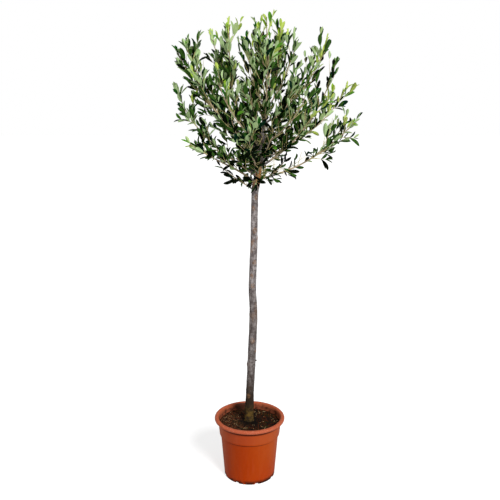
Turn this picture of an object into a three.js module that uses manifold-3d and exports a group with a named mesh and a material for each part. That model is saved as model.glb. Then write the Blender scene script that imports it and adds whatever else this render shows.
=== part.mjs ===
// A young olive tree grown as a standard: one slim bare stem, a round open crown of
// upright shoots, and a round nursery pot filled with compost.
//
// Millimetres, +Z up. The origin is the middle of the pot's flat underside, +X is the
// side that the crown leans to and +Y is the back.
//
// The crown is built as it grows. Each limb leaves the trunk, or an older limb, bends up
// towards the light and ends in a shoot tip. Its bare stretch is a bough. From there on it
// is the stem of a mass of foliage, with side shoots and leaves fused to it. A mass keeps
// to the space that is nearer to its own stems than to any other.
import * as THREE from "three";
import { mergeVertices } from "three/addons/utils/BufferGeometryUtils.js";
import Module from "manifold-3d";

const wasm = await Module();
wasm.setup();

// The pot: a tapered body, a slightly wider collar and a rolled lip.
const pot = {
  height: 265,
  footRadius: 108.5,
  bodyRadius: 123.5,
  collarHeight: 186,
  collarStep: 3,
  collarFoot: 129,
  collarTop: 135,
  lipRadius: 150,
  lipDepth: 16,
  wall: 3,
  floor: 4,
  footRing: 13,
  padRadius: 44,
  recess: 6,
  notches: 8,
  notchWidth: 15,
  drainRadius: 6,
  drainCircle: 68,
  sides: 32,
};

// The compost, a little higher round the trunk, where it has a level seat.
const compost = { edge: 236, crown: 243, seatRadius: 25, ripple: 2.2, rings: 4, sides: 28 };

// The trunk: height above the ground, offset right, offset back, diameter.
const trunkStations = [
  [243.3, -2, 0, 33],
  [340, 0, 2, 32],
  [480, 7, 4, 32.5],
  [610, 13, 3, 31.5],
  [740, 16, 0, 30.5],
  [825, 11.5, -2, 28.5],
  [990, 17, 0, 27],
  [1140, 19.5, 3, 25],
  [1240, 22.5, 4, 26],
  [1300, 34, 2, 21.5],
  [1400, 48, -4, 16],
  [1520, 59, -2, 12],
  [1640, 79, 4, 7.5],
];
const rootFlare = { radius: 6, height: 20 };
const trunkSides = 12;
const trunkSteps = 26;

// The limbs. from: height on the trunk, or share of the limb named by on. heading: degrees
// from +X towards +Y. reach and rise: how far out and up the tip is from the start.
// lift and tipLift: slope at the start and at the tip. bare: length without foliage, which
// is the bough; a limb with none belongs to the foliage of the limb that it grows on.
const limbs = [
  { name: "low_left", from: 1236, heading: 203, reach: 165, rise: 122, lift: 34, tipLift: 46, bare: 26, thick: 6 },
  { name: "left_front", from: 1268, heading: 206, reach: 300, rise: 178, lift: 38, tipLift: 40, bare: 44, thick: 10 },
  { name: "left_long", from: 1298, heading: 176, reach: 320, rise: 347, lift: 30, tipLift: 76, bare: 55, thick: 9 },
  { name: "left_mid", from: 1387, heading: 185, reach: 330, rise: 403, lift: 38, tipLift: 68, bare: 50, thick: 9 },
  { name: "left_mid_fork", on: "left_mid", from: 0.46, heading: 200, reach: 105, rise: 272, lift: 54, tipLift: 84 },
  { name: "left_inner", from: 1437, heading: 160, reach: 213, rise: 424, lift: 44, tipLift: 80, bare: 45, thick: 8 },
  { name: "left_inner_fork", on: "left_inner", from: 0.42, heading: 228, reach: 22, rise: 296, lift: 76, tipLift: 86 },
  { name: "left_near", from: 1334, heading: 222, reach: 150, rise: 205, lift: 40, tipLift: 76, bare: 40, thick: 7 },
  { name: "leader", from: 1640, heading: 180, reach: 14, rise: 284, lift: 84, tipLift: 90, bare: 0.6, thick: 7.4 },
  { name: "leader_left_fork", on: "leader", from: 0.12, heading: 214, reach: 68, rise: 196, lift: 58, tipLift: 84 },
  { name: "top_left", from: 1560, heading: 196, reach: 78, rise: 280, lift: 50, tipLift: 86, bare: 34, thick: 6 },
  { name: "top_right", from: 1556, heading: 333, reach: 118, rise: 280, lift: 48, tipLift: 84, bare: 40, thick: 7 },
  { name: "top_back", from: 1592, heading: 55, reach: 92, rise: 300, lift: 46, tipLift: 84, bare: 40, thick: 6 },
  { name: "right_near", from: 1440, heading: 326, reach: 150, rise: 262, lift: 36, tipLift: 80, bare: 45, thick: 7 },
  { name: "right_upper", from: 1500, heading: 12, reach: 250, rise: 343, lift: 30, tipLift: 80, bare: 45, thick: 8 },
  { name: "right_mid", from: 1330, heading: 346, reach: 298, rise: 420, lift: 30, tipLift: 78, bare: 52, thick: 10 },
  { name: "right_outer", from: 1352, heading: 19, reach: 375, rise: 304, lift: 26, tipLift: 66, bare: 55, thick: 9 },
  { name: "right_front", from: 1408, heading: 308, reach: 262, rise: 232, lift: 30, tipLift: 72, bare: 40, thick: 8 },
  { name: "low_right", from: 1282, heading: 356, reach: 400, rise: 255, lift: 12, tipLift: 52, bare: 80, thick: 9 },
  { name: "low_right_fork", on: "low_right", from: 0.45, heading: 18, reach: 150, rise: 150, lift: 30, tipLift: 68 },
  { name: "front_low", from: 1304, heading: 262, reach: 306, rise: 214, lift: 28, tipLift: 62, bare: 38, thick: 9 },
  { name: "front_near", from: 1348, heading: 292, reach: 160, rise: 210, lift: 38, tipLift: 76, bare: 40, thick: 7 },
  { name: "front_left", from: 1400, heading: 237, reach: 312, rise: 298, lift: 34, tipLift: 70, bare: 42, thick: 8 },
  { name: "front_top", from: 1482, heading: 274, reach: 188, rise: 312, lift: 38, tipLift: 80, bare: 36, thick: 7 },
  { name: "fork_front", from: 1258, heading: 268, reach: 128, rise: 96, lift: 22, tipLift: 62, bare: 28, thick: 5 },
  { name: "fork_right", from: 1276, heading: 316, reach: 156, rise: 104, lift: 18, tipLift: 60, bare: 34, thick: 5 },
  { name: "fork_left", from: 1290, heading: 230, reach: 136, rise: 108, lift: 24, tipLift: 66, bare: 32, thick: 5 },
  { name: "centre_front", from: 1452, heading: 242, reach: 116, rise: 206, lift: 40, tipLift: 80, bare: 34, thick: 6 },
  { name: "back_low", from: 1290, heading: 92, reach: 328, rise: 204, lift: 26, tipLift: 58, bare: 52, thick: 9 },
  { name: "back_left", from: 1362, heading: 133, reach: 350, rise: 268, lift: 32, tipLift: 66, bare: 52, thick: 9 },
  { name: "back_right", from: 1342, heading: 46, reach: 360, rise: 278, lift: 32, tipLift: 66, bare: 52, thick: 9 },
  { name: "back_top", from: 1486, heading: 98, reach: 204, rise: 322, lift: 38, tipLift: 80, bare: 42, thick: 7 },
];
const limbTipRadius = 1.9;
const forkRadius = 3;
const crownTop = 1926;
const bendPull = 0.36; // how far a limb keeps its first and last slope, as a share of its length

// The foliage: side shoots at even steps on each stem, each turned on from the last, with
// leaves in opposite pairs that turn a quarter each time and one at the tip. Leaves are
// few and larger than life.
const shoot = { gap: 52, sway: 0.3, angle: 46, longest: 175, shortest: 36, light: 0.7, radius: 1.7, ofStem: 0.5 };
const leaf = { length: 76, width: 24, thickness: 2.6, gap: 41, angle: 38, droop: 0.06, sunk: 0.2, apart: 12 };
const shares = { leafless: 0.2, shorterAtTip: 0.5, uneven: 0.3, tipRadius: 0.6, tipLeafOut: 0.97 };
const clearance = 0.3; // between neighbouring solids that touch in the real tree
const roomBetweenMasses = 2.5;
const roomRoundLimbs = 4;
const shortestEdge = 0.05;
const seed = 1971;

const up = new THREE.Vector3(0, 0, 1);
const radians = THREE.MathUtils.degToRad;

// Numbers from 0 to 1 in a fixed order that only the seed decides.
function seededNumbers(start) {
  let state = start;
  return () => {
    state = (state * 16807) % 2147483647;
    return state / 2147483647;
  };
}

// A closed geometry as a solid that can be joined and cut.
function solidOf(geometry) {
  const bare = geometry.clone();
  bare.deleteAttribute("normal");
  bare.deleteAttribute("uv");
  const merged = mergeVertices(bare, 1e-4);
  return new wasm.Manifold(
    new wasm.Mesh({
      numProp: 3,
      vertProperties: new Float32Array(merged.attributes.position.array),
      triVerts: new Uint32Array(merged.index.array),
    }),
  );
}

// Closes up edges shorter than a length, so that no two corners of a mesh nearly coincide.
// An edge whose ends share more than two neighbours stays, because closing it would pinch
// the surface.
function closeShortEdges(places, triangles, shortest) {
  const apart = (a, b) => places[a].distanceTo(places[b]);
  for (let round = 0; round < 12; round++) {
    const neighbours = places.map(() => new Set());
    for (const corners of triangles)
      for (const a of corners) for (const b of corners) if (a !== b) neighbours[a].add(b);
    const moved = new Map();
    const settled = new Set();
    for (let a = 0; a < places.length; a++) {
      for (const b of neighbours[a]) {
        if (b < a || settled.has(a) || settled.has(b) || apart(a, b) > shortest) continue;
        const shared = [...neighbours[a]].filter((c) => neighbours[b].has(c));
        if (shared.length !== 2) continue;
        moved.set(b, a);
        for (const c of [a, b, ...neighbours[a], ...neighbours[b]]) settled.add(c);
      }
    }
    if (!moved.size) break;
    triangles = triangles
      .map((corners) => corners.map((corner) => moved.get(corner) ?? corner))
      .filter(([a, b, c]) => a !== b && b !== c && c !== a);
  }
  return triangles;
}

// A solid back as a geometry. Only its largest body is kept, so scraps and sealed hollows go.
function geometryOf(solid) {
  const bodies = solid.decompose().sort((a, b) => b.volume() - a.volume());
  const mesh = bodies[0].getMesh();
  const places = [];
  for (let i = 0; i < mesh.vertProperties.length; i += 3)
    places.push(new THREE.Vector3().fromArray(mesh.vertProperties, i));
  const corners = [];
  for (let i = 0; i < mesh.triVerts.length; i += 3) corners.push([...mesh.triVerts.slice(i, i + 3)]);
  const triangles = closeShortEdges(places, corners, shortestEdge);
  const loose = new THREE.BufferGeometry().setFromPoints(triangles.flat().map((corner) => places[corner]));
  const geometry = mergeVertices(loose, 1e-4);
  geometry.computeVertexNormals();
  return geometry;
}

// One stretch of a longer curve.
class Stretch extends THREE.Curve {
  constructor(whole, from, to) {
    super();
    Object.assign(this, { whole, from, to, across: whole.across });
  }

  getPoint(share, target = new THREE.Vector3()) {
    return target.copy(this.whole.getPointAt(this.from + (this.to - this.from) * share));
  }
}

// The two directions across a curve at a share of its length. Each curve lies in one
// plane, or nearly, and its "across" is square to that plane.
function directionsAcross(curve, share) {
  const tangent = curve.getTangentAt(share);
  const back = new THREE.Vector3().crossVectors(curve.across, tangent).normalize();
  const side = new THREE.Vector3().crossVectors(tangent, back);
  return { tangent, side, back };
}

// A direction out of a curve: an angle off the curve, turned round it.
function wayOut(curve, share, turn, angle) {
  const { tangent, side, back } = directionsAcross(curve, share);
  const out = side.multiplyScalar(Math.cos(turn)).addScaledVector(back, Math.sin(turn));
  return { out, way: tangent.multiplyScalar(Math.cos(angle)).addScaledVector(out, Math.sin(angle)) };
}

// A rod bent along a curve, with its radius given for each share of its length.
function bentRod(curve, sides, steps, radiusAt) {
  const rod = new THREE.CylinderGeometry(1, 1, 1, sides, steps);
  const place = rod.attributes.position;
  for (let i = 0; i < place.count; i++) {
    const share = Math.round((place.getY(i) + 0.5) * steps) / steps;
    const { side, back } = directionsAcross(curve, share);
    const radius = radiusAt(share);
    const point = curve.getPointAt(share);
    point.addScaledVector(side, place.getX(i) * radius).addScaledVector(back, place.getZ(i) * radius);
    place.setXYZ(i, point.x, point.y, point.z);
  }
  return rod;
}

function material(color, roughness) {
  return new THREE.MeshStandardMaterial({ color, roughness, metalness: 0 });
}
const looks = {
  pot: material(0xb5532c, 0.55),
  compost: material(0x2f231b, 0.95),
  bark: material(0x7d756c, 0.9),
  twig: material(0x8d8568, 0.85),
  leaves: material(0x5c7a3c, 0.55),
};

const tree = new THREE.Group();
function addNode(name, geometry, look) {
  const mesh = new THREE.Mesh(geometry, look);
  mesh.name = name;
  tree.add(mesh);
}

// The pot's section is turned round the axis, then the drain holes and the notches in its
// foot ring are cut.
function potProfile() {
  const { height, wall, floor, lipDepth, lipRadius, collarHeight, recess } = pot;
  const points = [
    [0, 0],
    [pot.padRadius, 0],
    [pot.padRadius + recess / 2, recess],
    [pot.footRadius - pot.footRing, recess],
    [pot.footRadius - pot.footRing + recess / 2, 0],
    [pot.footRadius, 0],
    [pot.bodyRadius, collarHeight],
    [pot.collarFoot, collarHeight + pot.collarStep],
    [pot.collarTop, height - lipDepth],
  ];
  const lipMiddle = height - lipDepth / 2;
  const lipHalf = (lipRadius - pot.collarTop + wall) / 2;
  for (let step = 0; step <= 5; step++) {
    const angle = radians(-50 + step * 40);
    points.push([
      lipRadius - lipHalf + lipHalf * Math.cos(angle),
      lipMiddle + (lipDepth / 2) * Math.sin(angle),
    ]);
  }
  points.push([pot.collarTop - wall, height - lipDepth]);
  points.push([pot.collarFoot - wall, collarHeight + pot.collarStep]);
  points.push([pot.bodyRadius - wall, collarHeight]);
  points.push([pot.footRadius - wall, recess + floor]);
  points.push([0, recess + floor]);
  return points.map(([r, z]) => new THREE.Vector2(r, z));
}

function buildPot() {
  const turned = new THREE.LatheGeometry(potProfile(), pot.sides).rotateX(Math.PI / 2);
  let shell = solidOf(turned);
  if (shell.volume() < 0) throw new Error("the pot's section runs the wrong way round");
  for (let i = 0; i < pot.notches; i++) {
    const heading = (2 * Math.PI * (i + 0.35)) / pot.notches;
    const notch = new THREE.BoxGeometry(pot.footRing * 3, pot.notchWidth, pot.recess * 2);
    notch.translate(pot.footRadius, 0, 0).rotateZ(heading);
    const drain = new THREE.CylinderGeometry(pot.drainRadius, pot.drainRadius, 40, 8);
    drain.rotateX(Math.PI / 2).translate(pot.drainCircle, 0, 0).rotateZ(heading);
    shell = shell.subtract(solidOf(notch)).subtract(solidOf(drain));
  }
  addNode("pot", geometryOf(shell), looks.pot);
}

// The compost fills the pot, from just above its floor to an uneven top.
function buildCompost() {
  const random = seededNumbers(seed);
  const bottom = pot.recess + pot.floor + clearance;
  const innerRadius = (z) => {
    const wallFoot = pot.recess + pot.floor;
    if (z <= pot.collarHeight) {
      const share = (z - wallFoot) / (pot.collarHeight - wallFoot);
      return pot.footRadius + (pot.bodyRadius - pot.footRadius) * share - pot.wall;
    }
    const share = (z - pot.collarHeight - pot.collarStep) / (pot.height - pot.lipDepth - pot.collarHeight - pot.collarStep);
    return pot.collarFoot + (pot.collarTop - pot.collarFoot) * Math.max(share, 0) - pot.wall;
  };
  const gap = clearance * 3;
  const kink = pot.collarHeight;
  const outline = [
    [0, bottom],
    [innerRadius(bottom) - gap, bottom],
    [innerRadius(kink) - gap, kink],
    [innerRadius(kink + pot.collarStep + 0.01) - gap, kink + pot.collarStep + gap],
    [innerRadius(compost.edge) - gap, compost.edge],
  ];
  const rim = outline[outline.length - 1][0];
  for (let ring = compost.rings - 1; ring >= 0; ring--) {
    const share = ring / compost.rings;
    const r = compost.seatRadius + (rim - compost.seatRadius) * share;
    outline.push([r, compost.crown + (compost.edge - compost.crown) * share * share]);
  }
  outline.push([0, compost.crown]);
  const body = new THREE.LatheGeometry(
    outline.map(([r, z]) => new THREE.Vector2(r, z)),
    compost.sides,
  ).rotateX(Math.PI / 2);
  const merged = mergeVertices(new THREE.BufferGeometry().setAttribute("position", body.attributes.position).setIndex(body.index), 1e-3);
  const place = merged.attributes.position;
  for (let i = 0; i < place.count; i++) {
    const r = Math.hypot(place.getX(i), place.getY(i));
    const onTop = place.getZ(i) > compost.edge - 1;
    if (onTop && r > compost.seatRadius + 1) place.setZ(i, place.getZ(i) + compost.ripple * (2 * random() - 1));
  }
  addNode("compost", geometryOf(solidOf(merged)), looks.compost);
}

// The trunk as a curve and a radius for each share of its length.
const trunkCurve = new THREE.CatmullRomCurve3(
  trunkStations.map(([z, right, back]) => new THREE.Vector3(right, back, z)),
  false,
  "centripetal",
);
trunkCurve.across = new THREE.Vector3(1, 0, 0);
function trunkRadius(height) {
  const next = Math.max(1, trunkStations.findIndex(([z]) => z >= height));
  const upper = height >= trunkStations[trunkStations.length - 1][0] ? trunkStations.length - 1 : next;
  const [z0, , , d0] = trunkStations[upper - 1];
  const [z1, , , d1] = trunkStations[upper];
  const share = Math.min((height - z0) / (z1 - z0), 1);
  const flare = rootFlare.radius * Math.exp(-(height - trunkStations[0][0]) / rootFlare.height);
  return (d0 + (d1 - d0) * share) / 2 + flare;
}
function trunkPointAt(height) {
  let low = 0;
  let high = 1;
  for (let i = 0; i < 30; i++) {
    const middle = (low + high) / 2;
    if (trunkCurve.getPointAt(middle).z < height) low = middle;
    else high = middle;
  }
  return trunkCurve.getPointAt((low + high) / 2);
}
function trunkRod(extra) {
  return bentRod(trunkCurve, trunkSides, trunkSteps, (share) => trunkRadius(trunkCurve.getPointAt(share).z) + extra);
}

function buildTrunk() {
  const foot = trunkStations[0][0];
  const below = new THREE.BoxGeometry(100, 100, 40).translate(0, 0, foot - 20);
  addNode("trunk", geometryOf(solidOf(trunkRod(0)).subtract(solidOf(below))), looks.bark);
}

// Works out each limb's curve, radii and owner: the limb whose foliage it belongs to.
function growLimbs() {
  const byName = new Map();
  for (const row of limbs) {
    const parent = row.on && byName.get(row.on);
    const start = parent ? parent.curve.getPointAt(row.from) : trunkPointAt(row.from);
    const out = new THREE.Vector3(Math.cos(radians(row.heading)), Math.sin(radians(row.heading)), 0);
    const slope = (degrees) =>
      out.clone().multiplyScalar(Math.cos(radians(degrees))).addScaledVector(up, Math.sin(radians(degrees)));
    const end = start.clone().addScaledVector(out, row.reach).addScaledVector(up, row.rise);
    const pull = bendPull * start.distanceTo(end);
    const curve = new THREE.CubicBezierCurve3(
      start,
      start.clone().addScaledVector(slope(row.lift), pull),
      end.clone().addScaledVector(slope(row.tipLift), -pull),
      end,
    );
    curve.across = new THREE.Vector3(-out.y, out.x, 0);
    const length = curve.getLength();
    const rootRadius = row.thick ? row.thick / 2 : forkRadius;
    const limb = {
      ...row,
      curve,
      length,
      owner: parent ? parent.owner : row.name,
      bareShare: (row.bare ?? 0) / length,
      radiusAt: (share) => rootRadius + (limbTipRadius - rootRadius) * share,
      samples: Array.from({ length: 41 }, (_, i) => curve.getPointAt(i / 40)),
    };
    byName.set(row.name, limb);
  }
  return [...byName.values()];
}

// Each bough is the bare stretch of a limb, trimmed clear of the trunk and of the boughs before it.
function buildBoughs(grown) {
  const fatTrunk = solidOf(trunkRod(clearance * 1.2));
  const placed = [];
  for (const limb of grown) {
    if (!limb.bare || limb.bare < 1) continue;
    const stretch = new Stretch(limb.curve, 0, limb.bareShare);
    const steps = Math.max(3, Math.round(limb.bare / 32));
    const rod = (extra) => solidOf(bentRod(stretch, 6, steps, (share) => limb.radiusAt(share * limb.bareShare) + extra));
    let solid = rod(0).subtract(fatTrunk);
    for (const other of placed) solid = solid.subtract(other);
    placed.push(rod(clearance));
    addNode("bough_" + limb.name, geometryOf(solid), looks.bark);
  }
}

// Distance from a point to the nearest of a list of points.
function nearest(point, samples) {
  let best = Infinity;
  for (const sample of samples) best = Math.min(best, point.distanceToSquared(sample));
  return Math.sqrt(best);
}

// Tells whether a point is in a mass's own space, under the crown's top, and clear of the
// trunk and the boughs.
function roomFor(grown) {
  const stems = new Map();
  for (const limb of grown) {
    const leafy = limb.samples.filter((_, i) => i / 40 >= limb.bareShare);
    stems.set(limb.owner, [...(stems.get(limb.owner) ?? []), ...leafy]);
  }
  const bareWood = [];
  for (const limb of grown) {
    if (!limb.bare || limb.bare < 1) continue;
    for (let i = 0; i <= 24; i++) {
      const share = (i / 24) * limb.bareShare;
      bareWood.push([limb.curve.getPointAt(share), limb.radiusAt(share), limb.name]);
    }
  }
  for (let i = 0; i <= 120; i++) {
    const point = trunkCurve.getPointAt(i / 120);
    bareWood.push([point, trunkRadius(point.z), "trunk"]);
  }
  return (owner, point) => {
    if (point.z > crownTop) return false;
    const own = nearest(point, stems.get(owner));
    for (const [name, samples] of stems)
      if (name !== owner && nearest(point, samples) < own + roomBetweenMasses) return false;
    return bareWood.every(([centre, radius, name]) => {
      const room = name === owner ? 0 : roomRoundLimbs + 1.5;
      return point.distanceTo(centre) > radius + room || (name === owner && point.distanceTo(centre) > radius);
    });
  };
}

// The line of a side shoot: it leaves its stem at an angle, drawn up to the light.
function shootLine(stem, share, turn, length) {
  const start = stem.getPointAt(share);
  const { way } = wayOut(stem, share, turn, radians(shoot.angle));
  way.addScaledVector(up, shoot.light).normalize();
  const line = new THREE.LineCurve3(start, start.clone().addScaledVector(way, length));
  line.across = new THREE.Vector3().crossVectors(way, up).normalize();
  return line;
}

// The largest share of a curve, from its start, that has room all along.
function freeShare(curve, hasRoom) {
  for (let i = 2; i <= 16; i++) if (!hasRoom(curve.getPointAt(i / 16))) return (i - 1) / 16;
  return 1;
}

// The wood of a mass: its stem and the forks that grow on it, then all their side shoots.
function twigsOf(stems, hasRoom, random) {
  const twigs = [];
  for (const limb of stems) {
    const from = limb.bare ? limb.bareShare + clearance / limb.length : 0;
    const to = 1 - (shares.tipLeafOut * leaf.length) / limb.length;
    const length = limb.length * (to - from);
    const curve = new Stretch(limb.curve, from, to);
    const stemRadius = (share) => limb.radiusAt(from + (to - from) * share);
    twigs.push({ curve, radiusAt: stemRadius, steps: Math.max(3, Math.round(length / 60)), leafless: 0.3 });
    const count = Math.round(length / shoot.gap);
    for (let i = 0; i < count; i++) {
      const along = (i + 0.6) / count;
      const reach = shoot.longest * (1 - shares.shorterAtTip * along) * (1 - shares.uneven * random());
      const quarter = [0, 2, 1, 3][i % 4] + 0.5 + shoot.sway * (random() - 0.5);
      const whole = shootLine(curve, along, (quarter * Math.PI) / 2, reach);
      const end = freeShare(whole, hasRoom);
      if (end * reach < shoot.shortest) continue;
      const root = Math.min(shoot.radius, shoot.ofStem * stemRadius(along));
      const radiusAt = (share) => root * (1 - (1 - shares.tipRadius) * share);
      twigs.push({ curve: new Stretch(whole, 0, end), radiusAt, steps: 1, leafless: shares.leafless });
    }
  }
  return twigs;
}

// One leaf: a tetrahedron drawn out to a keeled blade. Its keel runs from its root in the
// middle of the twig to its tip.
function leafSolid(root, way, out, size) {
  const blade = new THREE.TetrahedronGeometry(Math.sqrt(3)).rotateZ(Math.PI / 4);
  const diagonal = 2 * Math.SQRT2;
  blade.scale((leaf.length * size) / diagonal, (leaf.width * size) / diagonal, leaf.thickness / 2);
  blade.translate(0, 0, leaf.thickness / 2);
  const across = new THREE.Vector3().crossVectors(out, way).normalize();
  const normal = new THREE.Vector3().crossVectors(way, across);
  const place = new THREE.Matrix4().makeBasis(way, across, normal);
  place.setPosition(root.clone().addScaledVector(way, (leaf.length * size) / 2 - leaf.sunk));
  return solidOf(blade.applyMatrix4(place));
}

// The leaves of one twig. A leaf that would leave the mass's space or run into other
// leaves or wood is skipped.
function leavesOf(twig, taken, hasRoom, random) {
  const made = [];
  const placeLeaf = (share, turn, angle, atTip = false) => {
    const root = twig.curve.getPointAt(share);
    const { out, way } = wayOut(twig.curve, share, turn, angle);
    way.addScaledVector(up, -leaf.droop).normalize();
    const size = atTip ? 1 : 1 - shares.uneven * random();
    const across = new THREE.Vector3().crossVectors(out, way).normalize();
    const at = (along, aside) =>
      root.clone().addScaledVector(way, leaf.length * size * along).addScaledVector(across, leaf.width * size * aside);
    const spots = [at(0.3, 0), at(0.55, 0), at(0.8, 0), at(1, 0)];
    const inReach = [...spots, at(0.5, 0.5), at(0.5, -0.5)].every(hasRoom);
    const crowded = spots.some((spot) =>
      taken.some((other) => other.twig !== twig && spot.distanceTo(other.spot) < leaf.apart),
    );
    if (!inReach || (crowded && !atTip)) return;
    taken.push(...spots.map((spot) => ({ spot })));
    made.push(leafSolid(root, way, out, size));
  };
  const leafy = 1 - twig.leafless;
  const length = twig.curve.getLength();
  const pairs = Math.max(1, Math.round((length * leafy) / leaf.gap));
  for (let i = 0; i < pairs; i++) {
    const share = twig.leafless + (leafy * (i + 0.35)) / pairs;
    for (const quarter of [i, i + 2]) placeLeaf(share, (quarter + 0.5) * (Math.PI / 2), radians(leaf.angle));
  }
  placeLeaf(1 - 1.3 / length, Math.PI / 4, 0.02, true);
  return made;
}

// Each mass: its stems, side shoots and leaves fused into one solid.
function buildMasses(grown) {
  const fatTrunk = solidOf(trunkRod(clearance));
  const room = roomFor(grown);
  const owners = [...new Set(grown.map((limb) => limb.owner))];
  let leaves = 0;
  owners.forEach((owner, number) => {
    const random = seededNumbers(seed + 37 * (number + 1));
    const hasRoom = (point) => room(owner, point);
    const stems = grown.filter((limb) => limb.owner === owner);
    const twigs = twigsOf(stems, hasRoom, random);
    const taken = twigs.flatMap((twig) => twig.curve.getSpacedPoints(10).map((spot) => ({ spot, twig })));
    const wood = twigs.map((twig) => solidOf(bentRod(twig.curve, 4, twig.steps, twig.radiusAt)));
    const blades = twigs.flatMap((twig) => leavesOf(twig, taken, hasRoom, random));
    leaves += blades.length;
    const fused = wasm.Manifold.union([...wood, ...blades]).subtract(fatTrunk).simplify(shortestEdge);
    addNode("foliage_" + owner, geometryOf(fused), looks.leaves);
  });
  return leaves;
}

buildPot();
buildCompost();
buildTrunk();
const grown = growLimbs();
buildBoughs(grown);
tree.userData.leaves = buildMasses(grown);

export default tree;
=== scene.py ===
import math
from itertools import product

import bmesh
import bpy
import numpy as np
from mathutils import Matrix, Vector, noise


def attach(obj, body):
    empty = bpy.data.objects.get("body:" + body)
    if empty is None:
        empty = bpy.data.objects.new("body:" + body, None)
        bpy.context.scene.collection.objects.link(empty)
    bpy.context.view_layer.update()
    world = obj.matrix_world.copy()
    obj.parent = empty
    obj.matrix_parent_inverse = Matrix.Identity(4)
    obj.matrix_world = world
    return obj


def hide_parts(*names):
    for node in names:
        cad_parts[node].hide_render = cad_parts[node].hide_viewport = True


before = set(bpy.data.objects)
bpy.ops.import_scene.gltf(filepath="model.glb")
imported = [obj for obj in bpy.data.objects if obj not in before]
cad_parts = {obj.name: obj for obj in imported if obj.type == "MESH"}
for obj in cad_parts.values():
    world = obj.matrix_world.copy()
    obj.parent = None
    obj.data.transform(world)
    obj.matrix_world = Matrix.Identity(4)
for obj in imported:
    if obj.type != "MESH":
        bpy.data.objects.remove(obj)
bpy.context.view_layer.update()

mm = 0.001
upward = np.array([0.0, 0.0, 1.0])


def unit(rows):
    return rows / np.maximum(np.linalg.norm(rows, axis=-1, keepdims=True), 1e-12)


def level(turn):  # the level direction at a turn in radians, counted from +X
    return np.array([math.cos(turn), math.sin(turn), 0])


def between(value, *stations):  # a value read off between stations: (where, what), (where, what) and so on
    return float(np.interp(value, *zip(*stations)))


def seededNumbers(start):  # the same run of numbers that the solids were grown with
    state, modulus = start, 2147483647
    while True:
        state = state * 16807 % modulus
        yield state / modulus


class Path:  # a curve as closely set points, read by share of its length
    def __init__(self, points, across):
        self.points = np.asarray(points, float)
        gaps = np.linalg.norm(np.diff(self.points, axis=0), axis=1)
        self.along = np.concatenate([[0.0], np.cumsum(gaps)])
        self.length = self.along[-1]
        self.across = np.asarray(across, float)

    def at(self, share):
        spot = np.atleast_1d(share) * self.length
        return np.stack([np.interp(spot, self.along, self.points[:, k]) for k in range(3)], axis=1)

    def directions(self, share):  # tangent, side and back at each share
        share, step = np.atleast_1d(share), 0.004
        tangent = unit(self.at(np.minimum(share + step, 1)) - self.at(np.maximum(share - step, 0)))
        back = unit(np.cross(self.across, tangent))
        return tangent, np.cross(tangent, back), back

    def part(self, start, end, count):
        return Path(self.at(np.linspace(start, end, count)), self.across)


def newObject(name, data):
    added = bpy.data.objects.new(name, data)
    bpy.context.scene.collection.objects.link(added)
    return added


def newPiece(name, mesh, materials, sharpAngle):
    mesh.shade_smooth()
    mesh.set_sharp_from_angle(angle=math.radians(sharpAngle))
    piece = newObject(name, mesh)
    for each in materials:
        mesh.materials.append(each)
    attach(piece, "root")
    return piece


def meshFrom(name, bm):
    mesh = bpy.data.meshes.new(name)
    bm.to_mesh(mesh)
    bm.free()
    return mesh


def rowsFrom(bm):  # the places and faces of a shape as plain rows
    return np.array([v.co for v in bm.verts]), [tuple(v.index for v in f.verts) for f in bm.faces]


def finishBmesh(name, bm, material, sharpAngle):
    return newPiece(name, meshFrom(name, bm), [material], sharpAngle)


def joinedMesh(name, parts, materials, sharpAngle):  # each part is its places, faces and the kinds of its faces
    faces, kinds, total = [], [], 0
    for places, partFaces, partKinds in parts:
        faces += [tuple(k + total for k in face) for face in partFaces]
        kinds += partKinds
        total += len(places)
    mesh = bpy.data.meshes.new(name)
    mesh.from_pydata(np.concatenate([places for places, _, _ in parts]).tolist(), [], faces)
    mesh.polygons.foreach_set("material_index", np.asarray(kinds, np.int32))
    return newPiece(name, mesh, materials, sharpAngle)


def giveValues(piece, name, values):  # one number for each vertex, for the materials to read
    piece.data.attributes.new(name, "FLOAT", "POINT").data.foreach_set("value", values)


def spun(profile, segments):  # a round body from a profile of radii and heights in millimetres
    bm = bmesh.new()
    corners = [bm.verts.new((r * mm, 0, z * mm)) for r, z in profile]
    edges = [bm.edges.new(pair) for pair in zip(corners, corners[1:])]
    bmesh.ops.spin(bm, geom=corners + edges, cent=(0, 0, 0), axis=(0, 0, 1), angle=math.tau,
                   steps=segments, use_merge=True)
    bmesh.ops.remove_doubles(bm, verts=bm.verts[:], dist=1e-6)
    return bm


def roundEdges(bm, edges, offset, segments):
    bmesh.ops.bevel(bm, geom=edges, offset=offset, offset_type="OFFSET", segments=segments, profile=0.5,
                    affect="EDGES", material=-1)


def bentRod(path, sides, steps, radiusAt, relief, end=1.0):  # a rod bent along a path, up to a share of it
    bm = bmesh.new()
    bmesh.ops.create_cone(bm, cap_ends=True, segments=sides, radius1=1, radius2=1, depth=1)
    longEdges = [e for e in bm.edges if abs(e.verts[0].co.z - e.verts[1].co.z) > 0.5]
    bmesh.ops.subdivide_edges(bm, edges=longEdges, cuts=steps - 1)
    places = np.array([v.co for v in bm.verts])
    share = end * (places[:, 2] + 0.5)
    centre = path.at(share)
    _, side, back = path.directions(share)
    outward = side * places[:, :1] - back * places[:, 1:2]
    radius = radiusAt(share)
    radius = radius + relief(centre + outward * radius[:, None], share)
    for vertex, spot in zip(bm.verts, centre + outward * radius[:, None]):
        vertex.co = spot
    return bm


def linear(red, green, blue):  # a screen colour of 0 to 255 as a linear colour
    steps = [c / 255 for c in (red, green, blue)]
    return (*[c / 12.92 if c < 0.04045 else ((c + 0.055) / 1.055) ** 2.4 for c in steps], 1.0)


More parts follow.
